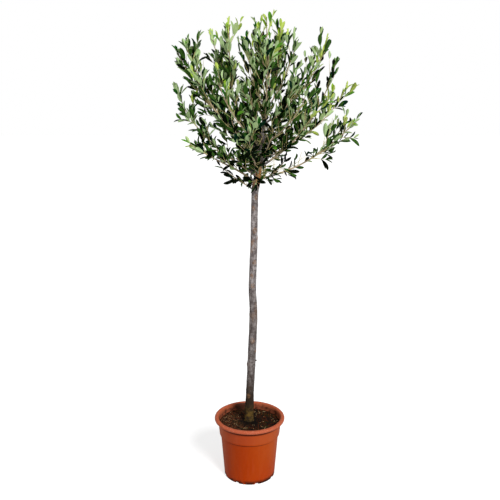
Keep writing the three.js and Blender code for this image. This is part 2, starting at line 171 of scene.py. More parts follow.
def feed(tree, node, inputs):  # links sockets to a node's inputs and sets plain values
    for key, value in inputs.items():
        if isinstance(value, bpy.types.NodeSocket):
            tree.links.new(value, node.inputs[key])
        else:
            node.inputs[key].default_value = value


def addNode(tree, kind, inputs=None, **settings):
    node = tree.nodes.new("ShaderNode" + kind)
    for key, value in settings.items():
        setattr(node, key, value)
    feed(tree, node, inputs or {})
    return node


def softStep(tree, value, start, full):  # from 0 to 1 between two values, which may fall or rise
    return addNode(tree, "MapRange", {0: value, 1: start, 2: full},
                   interpolation_type="SMOOTHSTEP").outputs[0]


def buildMottle():  # soft blotches: a noise turned into a mask, stretched if wanted
    group = bpy.data.node_groups.new("mottle", "ShaderNodeTree")
    for label in ("Vector", "Stretch", "Scale", "Detail", "From", "To"):
        kind = "Vector" if label in ("Vector", "Stretch") else "Float"
        group.interface.new_socket(name=label, in_out="INPUT", socket_type="NodeSocket" + kind)
    group.interface.new_socket(name="Mask", in_out="OUTPUT", socket_type="NodeSocketFloat")
    given = group.nodes.new("NodeGroupInput").outputs
    stretched = addNode(group, "VectorMath", {0: given["Vector"], 1: given["Stretch"]},
                        operation="MULTIPLY").outputs[0]
    cloud = addNode(group, "TexNoise", {
        "Vector": stretched, "Scale": given["Scale"], "Detail": given["Detail"], "Roughness": 0.6})
    mask = softStep(group, cloud.outputs["Fac"], given["From"], given["To"])
    feed(group, group.nodes.new("NodeGroupOutput"), {"Mask": mask})
    return group


mottle = buildMottle()


def plainMaterial(name, colour, roughness, specular):
    material = bpy.data.materials.new(name)
    material.use_nodes = True
    feed(material.node_tree, material.node_tree.nodes["Principled BSDF"], {
        "Base Color": colour, "Roughness": roughness, "Specular IOR Level": specular})
    return material


class Paint:  # a material made of coats of colour, each laid on where all of its masks are full
    def __init__(self, name, looks):
        self.looks = looks
        self.colour = looks[looks["base"]]
        self.material = plainMaterial(name, self.colour, looks["roughness"], looks["specular"])
        self.tree = self.material.node_tree
        self.place = addNode(self.tree, "TexCoord").outputs["Object"]
        split = addNode(self.tree, "SeparateXYZ", {0: self.place}).outputs
        flat = self.measure("MULTIPLY", self.place, (1, 1, 0)).outputs[0]
        reach = self.measure("LENGTH", flat).outputs["Value"]
        self.sources = {"sideways": split["X"], "height": split["Z"], "reach": reach}
        self.masks = {}

    def measure(self, operation, *vectors):
        return addNode(self.tree, "VectorMath", dict(enumerate(vectors)), operation=operation)

    def attribute(self, name):
        return addNode(self.tree, "Attribute", attribute_name=name).outputs["Fac"]

    def blotches(self, scale, start, full, stretch=(1, 1, 1), detail=4.0):
        return addNode(self.tree, "Group", {
            "Vector": self.place, "Scale": scale, "Stretch": stretch, "Detail": detail,
            "From": start, "To": full}, node_tree=mottle).outputs["Mask"]

    def mask(self, value):  # a mask by its name in the looks, made once; sockets and numbers stay as they are
        if not isinstance(value, str):
            return value
        if value not in self.masks:
            if value in self.looks["noise"]:
                self.masks[value] = self.blotches(*self.looks["noise"][value])
            else:
                *source, start, full = self.looks["bands"][value]
                followed = self.sources[source[0] if source else "height"]
                self.masks[value] = softStep(self.tree, followed, start, full)
        return self.masks[value]

    def combine(self, operation, values):
        total = self.mask(values[0])
        for value in values[1:]:
            inputs = {0: total, 1: self.mask(value)}
            total = addNode(self.tree, "Math", inputs, operation=operation).outputs[0]
        return total

    def times(self, *values):
        return self.combine("MULTIPLY", values)

    def plus(self, *values):
        return self.combine("ADD", values)

    def coat(self, key):
        for colour, *masks in self.looks[key]:
            inputs = {0: self.times(*masks), 6: self.colour, 7: self.looks[colour]}
            self.colour = addNode(self.tree, "Mix", inputs, data_type="RGBA").outputs[2]

    def finish(self, relief, **inputs):
        strength, distance = self.looks["bump"]
        bump = addNode(self.tree, "Bump", {"Strength": strength, "Distance": distance, "Height": relief})
        inputs.update({"Base Color": self.colour, "Normal": bump.outputs[0]})
        feed(self.tree, self.tree.nodes["Principled BSDF"], inputs)
        return self.material


# In all looks: noise is scale, start, full, stretch, detail; a band is what it follows if not the height, where
# it starts and where it is full; a coat is a colour and its masks, the last one often its share.
potShape = {
    "height": 265, "footRadius": 108.5, "bodyRadius": 123.5, "collarHeight": 186, "collarStep": 3,
    "collarFoot": 129, "collarTop": 135, "lipRadius": 150, "lipDepth": 16, "wall": 3, "floor": 4,
    "footRing": 13, "padRadius": 44, "recess": 6, "notches": 8, "notchWidth": 15, "notchTurn": 0.35,
    "drainRadius": 6, "drainCircle": 68, "segments": 192, "lipStart": -62, "lipStep": 17.5, "lipSquareness": 0.8,
    "roundBetween": (180, 252), "roundBeyond": 115, "cornerAngle": 28, "rounding": 0.8, "innerDepth": 1.8,
}
potLooks = {
    "base": "body", "roughness": 0.5, "specular": 0.07, "bump": (0.16, 0.0012), "trunkShadowAt": (-0.03, 0.134, 0.25),
    "body": linear(164, 53, 0), "faded": linear(174, 68, 12), "scuff": linear(206, 116, 82),
    # the light orange coat after body and faded is painted light on the lit side and edge
    "paintedLight": linear(216, 122, 46), "lipDust": linear(180, 92, 64), "lipPale": linear(208, 132, 106),
    # the earth colour is real soil on the foot and walls, and also the painted shadow of the trunk on the inner wall
    "wallSoil": linear(156, 88, 62), "shade": linear(78, 22, 4), "earthAndShade": linear(34, 20, 13),
    "noise": {
        "broad": (9, 0.35, 0.7, (1, 1, 0.5)), "streaks": (60, 0.45, 0.75, (1, 1, 0.12)), "fine": (260, 0.5, 0.78),
        "dust": (34, 0.3, 0.7), "wear": (190, 0.5, 0.7), "splashes": (30, 0.36, 0.52), "specks": (150, 0.66, 0.72),
        "ragged": (30, 0.3, 0.7), "crust": (55, 0.45, 0.62),
    },
    "bands": {
        "rightSide": ("sideways", -0.02, 0.125), "upward": (0.02, 0.17),
        "leftEdge": ("sideways", -0.085, -0.125), "collar": (0.188, 0.2),
        "lipTop": (0.246, 0.252), "lipOut": ("reach", 0.131, 0.137),
        "ringFrom": (0.1825, 0.1855), "ringTo": (0.1905, 0.1885),
        "underLipFrom": (0.2335, 0.2415), "underLipTo": (0.2525, 0.2505),
        "underLipIn": ("reach", 0.1446, 0.1426), "foot": (0.024, 0.004),
        "downward": (0.2, 0.02), "soiled": ("soilLine", 0.25, 0.232),
        # painted shadow of the trunk on the inner wall, fading out from a point behind the trunk
        "trunkShadow": ("fromTrunkShadow", 0.052, 0.03),
    },
    "coats": [
        # painted light: the right side above the foot and the left edge are made lighter
        ("faded", "broad", 0.45), ("scuff", "streaks", 0.05), ("paintedLight", "rightSide", "upward", 0.17),
        ("paintedLight", "leftEdge", 0.2), ("scuff", "collar", 0.13), ("lipDust", "lipTop", "lipOut", "dusty"),
        ("lipPale", "lipTop", "lipOut", "wear", 0.5), ("shade", "paintedShadeLines"), ("earthAndShade", "foot", "splashes", 0.95),
        ("earthAndShade", "specks", "downward", 0.5), ("wallSoil", "inside", 0.7), ("earthAndShade", "inside", "soiled", "caked"),
        ("earthAndShade", "inside", "trunkShadow", 0.85)],
}


def potProfile():
    s = potShape
    foot, recess, inside = s["footRadius"], s["recess"], s["recess"] + s["floor"]
    inner, outer = s["drainCircle"] - s["drainRadius"], s["drainCircle"] + s["drainRadius"]
    ring, collar, lipFoot = foot - s["footRing"], s["collarHeight"] + s["collarStep"], s["height"] - s["lipDepth"]
    points = [(0, 0), (s["padRadius"], 0), (s["padRadius"] + 3, recess), (inner, recess), (outer, recess),
              (ring, recess), (ring + 3, 0), (foot - 1, 0), (foot, 1), (foot + 0.5, recess),
              (s["bodyRadius"], s["collarHeight"]), (s["collarFoot"], collar), (s["collarTop"], lipFoot - 1)]
    half, middle = (s["lipRadius"] - s["collarTop"] + s["wall"]) / 2, s["height"] - s["lipDepth"] / 2
    for step in range(13):
        angle = math.radians(s["lipStart"] + step * s["lipStep"])
        flat = math.copysign(abs(math.sin(angle)) ** s["lipSquareness"], math.sin(angle))
        points.append((s["lipRadius"] - half + half * math.cos(angle), middle + s["lipDepth"] / 2 * flat))
    points += [(s["collarTop"] - s["wall"], lipFoot), (s["collarFoot"] - s["wall"], collar),
               (s["bodyRadius"] - s["wall"], s["collarHeight"]), (foot - s["wall"], inside),
               (outer, inside), (inner, inside), (0, inside)]
    return points


def notchFoot(bm, middle):  # one notch under the foot ring
    s = potShape
    for vertex in bm.verts:
        reach = vertex.co.xy.length / mm
        turn = (math.atan2(vertex.co.y, vertex.co.x) - middle + math.pi) % math.tau - math.pi
        onRing = reach > s["footRadius"] - s["footRing"] + 1 and abs(turn) * reach < s["notchWidth"] / 2 + 0.5
        if onRing and vertex.co.z < (s["recess"] - 0.5) * mm:
            vertex.co.z = s["recess"] * mm


def openDrain(bm, centre):  # one round hole through the floor
    s = potShape
    radius, slack, aboveFloor = s["drainRadius"] * mm, 0.6 * mm, 0.012

    def covered(face):
        middle = face.calc_center_median()
        flat = abs(face.normal.z) > 0.9 and middle.z < aboveFloor
        inRing = abs(middle.xy.length - centre.length) < radius
        return flat and inRing and (middle.xy - centre.xy).length < radius - slack

    inHole = [f for f in bm.faces if covered(f)]
    border = {e for f in inHole for e in f.edges if sum(g in inHole for g in e.link_faces) == 1}
    bmesh.ops.delete(bm, geom=inHole, context="FACES")
    rims = [e for e in border if e.is_valid]
    for vertex in {v for e in rims for v in e.verts}:
        vertex.co.xy = centre.xy + (vertex.co.xy - centre.xy).normalized() * radius
    bmesh.ops.bridge_loops(bm, edges=rims)


def buildPot(material):
    s = potShape
    bm = spun(potProfile(), s["segments"])
    for index in range(s["notches"]):
        middle = math.tau * (index + s["notchTurn"]) / s["notches"]
        notchFoot(bm, middle)
        openDrain(bm, Vector(level(middle)) * s["drainCircle"] * mm)
    bmesh.ops.remove_doubles(bm, verts=bm.verts[:], dist=1e-5)
    bmesh.ops.dissolve_degenerate(bm, edges=bm.edges[:], dist=1e-6)
    bmesh.ops.recalc_face_normals(bm, faces=bm.faces[:])
    lowest, highest = (height * mm for height in s["roundBetween"])
    rounded = []
    for edge in bm.edges:  # the moulded corners of collar, foot and inner step
        low, high = sorted(v.co.z for v in edge.verts)
        corner = high - low < 1e-6 and edge.is_manifold and edge.calc_face_angle(0) > math.radians(s["cornerAngle"])
        if corner and lowest < high < highest and edge.verts[0].co.xy.length > s["roundBeyond"] * mm:
            rounded.append(edge)
    roundEdges(bm, rounded, s["rounding"] * mm, 2)
    piece = finishBmesh("nursery_pot", bm, material, 50)
    wallRadii = [s["footRadius"], s["bodyRadius"], s["collarFoot"], s["collarTop"] + 1]
    wallHeights = [0, s["collarHeight"], s["collarHeight"] + s["collarStep"], s["height"]]
    spots = np.array([v.co for v in piece.data.vertices])
    wall = np.interp(spots[:, 2], np.array(wallHeights) * mm, np.array(wallRadii) * mm)
    depth = wall - np.hypot(spots[:, 0], spots[:, 1])
    giveValues(piece, "innerWall", (depth > s["innerDepth"] * mm).astype(float))
    return piece


def potMaterial():
    paint = Paint("terracottaPlastic", potLooks)
    paint.sources["soilLine"] = paint.plus(paint.sources["height"], paint.times("ragged", -0.022))
    # painted shadow of the trunk on the inner wall behind it
    paint.sources["fromTrunkShadow"] = paint.measure("DISTANCE", paint.place, potLooks["trunkShadowAt"]).outputs["Value"]
    # painted shadow: dark lines in the ring step and under the lip, in the shade colour
    ringLine = paint.times("ringFrom", "ringTo", 0.8)
    underLip = paint.times("underLipFrom", "underLipIn", "underLipTo", 0.97)
    paint.masks.update({
        "inside": paint.attribute("innerWall"), "dusty": paint.plus(paint.times("dust", 0.35), 0.6),
        "paintedShadeLines": paint.plus(ringLine, underLip), "caked": paint.plus(paint.times("crust", 0.66), 0.1)})
    paint.coat("coats")
    rough = paint.plus(paint.times("fine", 0.16), 0.42, paint.times("foot", "splashes", 0.3))
    return paint.finish(paint.plus(paint.times("fine", 0.3), paint.times("streaks", 0.5)), Roughness=rough)


compostShape = {
    "edge": 236, "crown": 243, "seat": 24, "radius": 131.2, "rings": 44, "ringCrowding": 0.8, "segments": 144,
    "underside": [(126.2, 188), (120.2, 184), (104, 10.6), (0, 10.6)], "moundReach": 105, "settled": 1.2,
    "lumps": 3.0, "lumpScale": 45, "grains": 0.9, "grainScale": 260, "calmReach": 14, "calmInside": 6,
    "bitsFrom": 26, "bitsOver": 101, "mossScale": 26, "mossFrom": 0.02, "bitLift": 0.4,
    "lots": [  # how many bits, their shape, half size, and kind of look
        (700, "chip", (2.4, 1.4, 0.8), 0), (230, "tuft", (1.1, 1.1, 0.8), 1),
        (64, "straw", (7.0, 0.55, 0.55), 2), (24, "chip", (1.5, 0.9, 0.7), 2)],
}
compostLooks = {
    "base": "dark", "roughness": 0.9, "specular": 0.12, "bump": (0.8, 0.002),
    "dark": linear(10, 5, 2), "brown": linear(40, 18, 7), "moss": linear(44, 50, 10),
    "chip": linear(82, 36, 14), "pale": linear(190, 162, 118), "dry": linear(104, 66, 40),
    "noise": {
        "lumps": (95, 0.42, 0.66), "chips": (380, 0.6, 0.68), "mossy": (26, 0.48, 0.6), "tufts": (300, 0.45, 0.6),
        "dryLumps": (105, 0.48, 0.56), "grain": (330, 0.25, 0.8, (1, 1, 1), 6.0),
    },
    "bands": {"drier": ("sideways", 0.02, -0.08), "byStem": ("reach", 0.06, 0.03)},
    "coats": [
        ("brown", "lumps"), ("chip", "chips", 0.7), ("moss", "mossy", "tufts", 0.75),
        # darker next to the stem is painted shade where the stem meets the compost
        ("dry", "drier", "dryLumps", 0.85), ("dark", "byStem", 0.8)],
}


def compostHeight(x, y):
    s = compostShape
    reach = math.hypot(x, y) / mm - s["seat"]
    mound = s["crown"] + (s["edge"] - s["crown"]) * min(max(reach / s["moundReach"], 0), 1) ** 2
    lumps = noise.fractal(Vector((x * s["lumpScale"], y * s["lumpScale"], 0.3)), 1.0, 2.1, 4) * s["lumps"]
    grains = noise.noise(Vector((x * s["grainScale"], y * s["grainScale"], 1.7))) * s["grains"]
    calm = min(max((reach + s["calmInside"]) / s["calmReach"], 0), 1)
    return (mound - s["settled"] + (lumps + grains) * calm) * mm


def buildCompost(material):
    s = compostShape
    radii = [s["radius"] * (ring / s["rings"]) ** s["ringCrowding"] for ring in range(s["rings"] + 1)]
    bm = spun([(r, s["edge"]) for r in radii] + s["underside"], s["segments"])
    for vertex in bm.verts:
        if vertex.co.z > (s["edge"] - 1) * mm:
            vertex.co.z = compostHeight(vertex.co.x, vertex.co.y)
    bmesh.ops.recalc_face_normals(bm, faces=bm.faces[:])
    return finishBmesh("compost_fill", bm, material, 60)


def compostMaterial():
    paint = Paint("moistCompost", compostLooks)
    paint.coat("coats")
    return paint.finish(paint.mask("grain"))


def bitTemplate(shape):  # one chip, moss tuft or straw, about 2 across
    bm = bmesh.new()
    if shape == "tuft":
        bmesh.ops.create_icosphere(bm, subdivisions=1, radius=1)
    elif shape == "straw":
        bmesh.ops.create_cone(bm, cap_ends=True, segments=5, radius1=1, radius2=0.5, depth=2,
                              matrix=Matrix.Rotation(math.pi / 2, 4, "Y"))
    else:
        bmesh.ops.create_cube(bm, size=2)
        roundEdges(bm, bm.edges[:], 0.5, 1)
    rows = rowsFrom(bm)
    bm.free()
    return rows


def scatterBits():  # chips, moss, straws and crumbs lying on the compost, as one joined mesh
    s, looks = compostShape, compostLooks
    chance = np.random.default_rng(8)
    parts = []
    for count, shape, size, kind in s["lots"]:
        template, faces = bitTemplate(shape)
        for _ in range(count):
            turn = chance.uniform(0, math.tau)
            reach = (s["bitsFrom"] + s["bitsOver"] * chance.uniform() ** 0.5) * mm
            x, y = reach * math.cos(turn), reach * math.sin(turn)
            mossHere = noise.noise(Vector((x * s["mossScale"], y * s["mossScale"], 4.0))) >= s["mossFrom"]
            if shape == "tuft" and not mossHere:
                continue
            scale = np.array(size) * chance.uniform(0.4, 1.4, 3) * mm
            bit = template * (1 + chance.uniform(-0.22, 0.22, (len(template), 3))) * scale
            tilt = Matrix.Rotation(chance.normal(0, 0.3), 3, "X") @ Matrix.Rotation(chance.normal(0, 0.14), 3, "Y")
            spin = Matrix.Rotation(chance.uniform(0, math.tau), 3, "Z") @ tilt
            places = bit @ np.array(spin).T + (x, y, compostHeight(x, y) + scale[2] * s["bitLift"])
            parts.append((places, faces, [kind] * len(faces)))
    materials = [plainMaterial("barkChips", looks["chip"], 0.85, 0.08),
                 plainMaterial("mossGreen", looks["moss"], 0.95, 0.05),
                 plainMaterial("paleStraw", looks["pale"], 0.8, 0.2)]
    return joinedMesh("compost_bits", parts, materials, 35)


trunkStations = [  # height, offset right, offset back, diameter
    (243.3, -2, 0, 33), (340, 0, 2, 32), (480, 7, 4, 32.5), (610, 13, 3, 31.5), (740, 16, 0, 30.5),
    (825, 11.5, -2, 28.5), (990, 17, 0, 27), (1140, 19.5, 3, 25), (1240, 22.5, 4, 26), (1300, 34, 2, 21.5),
    (1400, 48, -4, 16), (1520, 59, -2, 12), (1640, 79, 4, 7.5)]
trunkShape = {
    "flareRadius": 6, "flareHeight": 20, "sides": 56, "steps": 520, "pointsApart": 1 / 24,
    "swelling": (2.6, 1.262, 0.028),  # where the limbs part: lift, height, half height
    "coarseness": ((0.3, 2.8), (0.55, 1.6), (1.2, 1.2), (1.6, 0.4)),
    "thicker": ((0.27, 0), (0.33, 1.2), (1.16, 1.2), (1.28, 0.2)),
    "relief": ((420, 70, 0, 0.32), (150, 26, 5, 0.5), (30, 12, 9, 0.8)),  # scale across, along, shift, depth
    "knots": [  # height, heading, size, lift
        (1212, 300, 9, 2.2), (1167, 250, 8, 1.8), (1077, 280, 10, 2.6), (1024, 235, 8, 2.0), (944, 290, 9, 2.2),
        (889, 255, 8, 1.8), (847, 275, 9, 2.4), (608, 268, 10, 2.6), (500, 188, 10, 3.2), (1130, 90, 9, 2.0),
        (955, 110, 9, 2.2), (778, 60, 8, 2.0), (664, 120, 9, 2.4), (424, 80, 9, 2.2), (362, 250, 9, 2.0),
        (1180, 20, 8, 1.8), (720, 200, 8, 1.8), (560, 330, 7, 1.6), (1045, 350, 8, 1.8), (300, 150, 9, 2.0)],
    "stubs": [  # height, heading, length, radius
        (506, 352, 9, 2.8), (1240, 300, 12, 3.0), (1262, 318, 10, 2.6), (1222, 262, 8, 2.4), (1252, 140, 10, 2.6),
        (1196, 70, 7, 2.2), (1286, 236, 9, 2.4)],
    "stubRise": 0.55, "stubTaper": (1.35, 0.8), "stubSides": 12, "stubRounding": 0.6,
}
barkLooks = {
    "base": "grey", "roughness": 0.85, "specular": 0.2, "bump": (0.55, 0.0012),
    "grey": linear(166, 158, 156), "mauve": linear(108, 99, 98), "dark": linear(48, 40, 36),
    "pale": linear(196, 184, 176), "rust": linear(136, 98, 64), "olive": linear(114, 88, 34),
    "lowBrown": linear(42, 29, 16), "wound": linear(160, 98, 34), "wet": compostLooks["dark"],
    "noise": {
        "patches": (64, 0.4, 0.62, (1, 1, 0.6)), "fissures": (210, 0.46, 0.68, (1, 1, 0.16), 6.0),
        "crossMarks": (120, 0.5, 0.66, (0.5, 0.5, 1.7)), "paleMarks": (95, 0.58, 0.72, (0.4, 0.4, 1.8)),
        "specks": (520, 0.62, 0.7), "rusty": (24, 0.52, 0.68, (1, 1, 0.5)),
        "brownPatches": (70, 0.05, 0.4, (1, 1, 0.5)), "woundPatches": (40, 0.26, 0.46, (1, 1, 0.5)),
        "darkPatches": (60, 0.2, 0.5, (1, 1, 0.5)), "olivePatches": (80, 0.36, 0.6),
        "wetPatches": (90, 0.35, 0.55), "broken": (170, 0.35, 0.6),
    },
    "bands": {
        "lowerHalf": (0.95, 0.72), "lowerQuarter": (0.5, 0.32),
        "forkFrom": (1.24, 1.28), "forkTo": (1.36, 1.31),
        "darkFoot": (0.44, 0.31), "oliveFoot": (0.33, 0.27),
        "wetFoot": (0.262, 0.248),
        "roundScar": ("scar", 0.06, 0.3), "inScar": ("scar", 0.6, 0.85), "aboveFoot": (0.3, 0.6),
    },
    "coats": [
        ("mauve", "patches"), ("dark", "fissures", 0.6), ("dark", "crossMarks", 0.75), ("pale", "paleMarks", 0.4),
        ("pale", "specks", 0.5)],
    "trunkCoats": [
        ("rust", "rusty", 0.5), ("lowBrown", "lower", "brownPatches"),
        ("wound", "forkFrom", "forkTo", "woundPatches", 0.85), ("lowBrown", "darkFoot", "darkPatches", 0.9),
        ("olive", "oliveFoot", "olivePatches", 0.7), ("wet", "wetFoot", "wetPatches", 0.9),
        ("rust", "roundScar", "broken", 0.6), ("pale", "inScar", "aboveFoot", 0.5)],
}


def trunkPath():
    places = np.array([(right, back, z) for z, right, back, _ in trunkStations], float) * mm
    padded = np.vstack([2 * places[0] - places[1], places, 2 * places[-1] - places[-2]])
    points = []
    for p0, p1, p2, p3 in zip(padded, padded[1:], padded[2:], padded[3:]):
        d0, d1, d2 = (np.linalg.norm(b - a) ** 0.5 for a, b in ((p0, p1), (p1, p2), (p2, p3)))
        leave = ((p1 - p0) / d0 - (p2 - p0) / (d0 + d1) + (p2 - p1) / d1) * d1
        arrive = ((p2 - p1) / d1 - (p3 - p1) / (d1 + d2) + (p3 - p2) / d2) * d1
        cubic, square = 2 * p1 - 2 * p2 + leave + arrive, -3 * p1 + 3 * p2 - 2 * leave - arrive
        for t in np.arange(0, 1, trunkShape["pointsApart"]):
            points.append(cubic * t ** 3 + square * t ** 2 + leave * t + p1)
    points.append(places[-1])
    return Path(points, (1, 0, 0))


trunk = trunkPath()


def trunkRadius(heights):
    stations = np.array(trunkStations, float)
    diameter = np.interp(heights / mm, stations[:, 0], stations[:, 3])
    flare = trunkShape["flareRadius"] * np.exp(-(heights / mm - stations[0, 0]) / trunkShape["flareHeight"])
    return (diameter / 2 + flare) * mm


def trunkAt(height):  # the trunk's axis at a height
    shares = np.linspace(0, 1, 2001)
    heights = trunk.at(shares)[:, 2]
    return trunk.at(np.interp(height, heights, shares))[0]


limbs = [  # name, from, heading, reach, rise, slope at start and tip, bare length, thickness, what a fork grows on
    ("low_left", 1236, 203, 165, 122, 34, 46, 26, 6),
    ("left_front", 1268, 206, 300, 178, 38, 40, 44, 10),
    ("left_long", 1298, 176, 320, 347, 30, 76, 55, 9),
    ("left_mid", 1387, 185, 330, 403, 38, 68, 50, 9),
    ("left_mid_fork", 0.46, 200, 105, 272, 54, 84, 0, 6, "left_mid"),
    ("left_inner", 1437, 160, 213, 424, 44, 80, 45, 8),
    ("left_inner_fork", 0.42, 228, 22, 296, 76, 86, 0, 6, "left_inner"),
    ("left_near", 1334, 222, 150, 205, 40, 76, 40, 7),
    ("leader", 1640, 180, 14, 284, 84, 90, 0.6, 7.4),
    ("leader_left_fork", 0.12, 214, 68, 196, 58, 84, 0, 6, "leader"),
    ("top_left", 1560, 196, 78, 280, 50, 86, 34, 6),
    ("top_right", 1556, 333, 118, 280, 48, 84, 40, 7),
    ("top_back", 1592, 55, 92, 300, 46, 84, 40, 6),
    ("right_near", 1440, 326, 150, 262, 36, 80, 45, 7),
    ("right_upper", 1500, 12, 250, 343, 30, 80, 45, 8),
    ("right_mid", 1330, 346, 298, 420, 30, 78, 52, 10),
    ("right_outer", 1352, 19, 375, 304, 26, 66, 55, 9),
    ("right_front", 1408, 308, 262, 232, 30, 72, 40, 8),
    ("low_right", 1282, 356, 400, 255, 12, 52, 80, 9),
    ("low_right_fork", 0.45, 18, 150, 150, 30, 68, 0, 6, "low_right"),
    ("front_low", 1304, 262, 306, 214, 28, 62, 38, 9),
    ("front_near", 1348, 292, 160, 210, 38, 76, 40, 7),
    ("front_left", 1400, 237, 312, 298, 34, 70, 42, 8),
    ("front_top", 1482, 274, 188, 312, 38, 80, 36, 7),
    ("fork_front", 1258, 268, 128, 96, 22, 62, 28, 5),
    ("fork_right", 1276, 316, 156, 104, 18, 60, 34, 5),
    ("fork_left", 1290, 230, 136, 108, 24, 66, 32, 5),
    ("centre_front", 1452, 242, 116, 206, 40, 80, 34, 6),
    ("back_low", 1290, 92, 328, 204, 26, 58, 52, 9),
    ("back_left", 1362, 133, 350, 268, 32, 66, 52, 9),
    ("back_right", 1342, 46, 360, 278, 32, 66, 52, 9),
    ("back_top", 1486, 98, 204, 322, 38, 80, 42, 7),
]
limbShape = {"tipRadius": 1.0, "bendPull": 0.36, "sides": 16, "ringsApart": 3, "pastBare": 0.012,
             "coarseness": 0.45, "collar": 2.4, "collarLength": 0.014}


def growLimbs():
    grown = {}
    for name, start, heading, reach, rise, lift, tipLift, bare, thick, *on in limbs:
        parent = grown[on[0]] if on else None
        first = parent["path"].at(start)[0] if on else trunkAt(start * mm)
        out = level(math.radians(heading))
        last = first + (out * reach + upward * rise) * mm
        pull = limbShape["bendPull"] * np.linalg.norm(last - first)
        handles = [first]
        for end, slope, way in ((first, lift, 1), (last, tipLift, -1)):
            angle = math.radians(slope)
            handles.append(end + (out * math.cos(angle) + upward * math.sin(angle)) * pull * way)
        handles.append(last)
        t = np.linspace(0, 1, 201)[:, None]
        points = (handles[0] * (1 - t) ** 3 + handles[1] * 3 * t * (1 - t) ** 2
                  + handles[2] * 3 * t ** 2 * (1 - t) + handles[3] * t ** 3)
        path = Path(points, (-out[1], out[0], 0))
        grown[name] = {
            "name": name, "path": path, "owner": parent["owner"] if on else name, "thick": thick,
            "fork": bool(on), "bareShare": bare * mm / path.length, "bare": bare,
        }
    return grown


def limbRadius(limb, share):
    root, tip = limb["thick"] / 2, limbShape["tipRadius"]
    return (root + (tip - root) * np.asarray(share, float) ** 0.8) * mm


def knotsNear(spots):  # how far each spot stands out as part of a knot, and how strongly it is scarred
    lift, scar = np.zeros(len(spots)), np.zeros(len(spots))
    for height, heading, size, rise in trunkShape["knots"]:
        height = height * mm
        knot = trunkAt(height) + level(math.radians(heading)) * trunkRadius(height)
        apart = (spots - knot) / (size * mm)
        apart[:, 2] *= 0.7  # knots are taller than wide
        reach = (apart ** 2).sum(axis=1)
        near = np.exp(-reach * 2.2)
        ring = np.exp(-((np.sqrt(reach) - 0.42) ** 2) * 60)
        lift += rise * mm * (near - 0.18 * ring)
        scar = np.maximum(scar, near)
    return lift, scar


def barkRelief(spots, coarseness):
    out = np.zeros(len(spots))
    for index, (x, y, z) in enumerate(spots):
        for across, along, shift, depth in trunkShape["relief"]:
            out[index] += depth * noise.noise(Vector((x * across, y * across, z * along + shift)))
    return out * coarseness * mm


def addStub(bm, height, heading, length, radius):  # a short stub of a pruned shoot
    s = trunkShape
    foot, inside = trunkAt(height * mm), trunkRadius(height * mm)
    way = unit(level(math.radians(heading)) + upward * s["stubRise"])
    depth = length * mm + inside
    radius1, radius2 = (radius * taper * mm for taper in s["stubTaper"])
    cone = bmesh.ops.create_cone(bm, cap_ends=True, segments=s["stubSides"], radius1=radius1, radius2=radius2,
                                 depth=depth)
    turn = Vector((0, 0, 1)).rotation_difference(Vector(way)).to_matrix().to_4x4()
    middle = Matrix.Translation(Vector(foot + way * depth / 2))
    bmesh.ops.transform(bm, matrix=middle @ turn, verts=cone["verts"])
    tip = [e for e in bm.edges if all(v in cone["verts"][s["stubSides"]:] for v in e.verts)]
    roundEdges(bm, tip, s["stubRounding"] * mm, 2)


def buildTrunk(material):
    s = trunkShape

    def relief(spots, share):
        heights = spots[:, 2]
        lift, middle, half = s["swelling"]
        swelling = lift * np.exp(-((heights - middle) / half) ** 2) * mm
        coarseness, thicker = (np.interp(heights, *zip(*s[key])) for key in ("coarseness", "thicker"))
        return barkRelief(spots, coarseness) + knotsNear(spots)[0] + swelling + thicker * mm

    bm = bentRod(trunk, s["sides"], s["steps"], lambda share: trunkRadius(trunk.at(share)[:, 2]), relief)
    for stub in s["stubs"]:
        addStub(bm, *stub)
    piece = finishBmesh("trunk_bark", bm, material, 75)
    giveValues(piece, "scar", knotsNear(np.array([v.co for v in piece.data.vertices]))[1])
    return piece


def buildBough(limb, material):
    s, path = limbShape, limb["path"]

    def relief(spots, share):  # thicker where it leaves the trunk
        collar = s["collar"] * mm * np.exp(-share * path.length / s["collarLength"])
        return barkRelief(spots, s["coarseness"]) + collar

    steps = max(10, round(limb["bare"] / s["ringsApart"]))
    end = limb["bareShare"] + s["pastBare"]
    bm = bentRod(path, s["sides"], steps, lambda share: limbRadius(limb, share), relief, end)
    return finishBmesh("limb_" + limb["name"], bm, material, 75)


def barkMaterial(name, young):
    paint = Paint(name, barkLooks)
    paint.coat("coats")
    if not young:
        paint.sources["scar"] = paint.attribute("scar")
        paint.masks["lower"] = paint.plus(paint.times("lowerHalf", 0.36), paint.times("lowerQuarter", 0.62))
        paint.coat("trunkCoats")
    return paint.finish(paint.plus(paint.times("fissures", -0.7), paint.times("specks", 0.25)))


shoots = {
    "gap": 52, "sway": 0.3, "angle": 46, "longest": 175, "light": 0.7, "radius": 1.45, "shorterAtTip": 0.5,
    "uneven": 0.3, "seed": 1971, "order": (0, 2, 1, 3), "shortest": 18, "tip": 0.55, "thinner": 0.62, "bare": 0.1,
    "stemTip": 0.8, "leafyTip": 0.35, "stemBare": ((1.32, 0.1), (1.4, 0.4)),
    "droop": (0.0, 0.07), "sideBend": 0.035,
}
twiglets = {  # finer twigs on the side shoots
    "gap": 40, "onShootFrom": 50, "openFrom": 1.55, "openShare": 0.65, "reach": 0.8, "from": 0.16, "over": 0.6,
    "angle": (36, 54), "light": 1.1, "hang": 0, "length": (26, 60), "shorter": 0.35, "shortest": 14,
    "roomFrom": 2, "radii": (0.95, 0.5), "bare": 0.15,
}
betweenShoots = {  # shoots on the stems between the side shoots; low ones are fewer, shorter and hang more
    "low": ((1.34, 1), (1.46, 0)), "gap": 11, "lowGap": 38, "from": 0.03, "over": 0.78,
    "angle": (34, 62), "light": 0.9, "hang": 0.95, "length": (40, 96), "shorter": 0.4, "shortest": 16,
    "roomFrom": 3, "radii": (1.15, 0.55), "bare": 0.18,
}
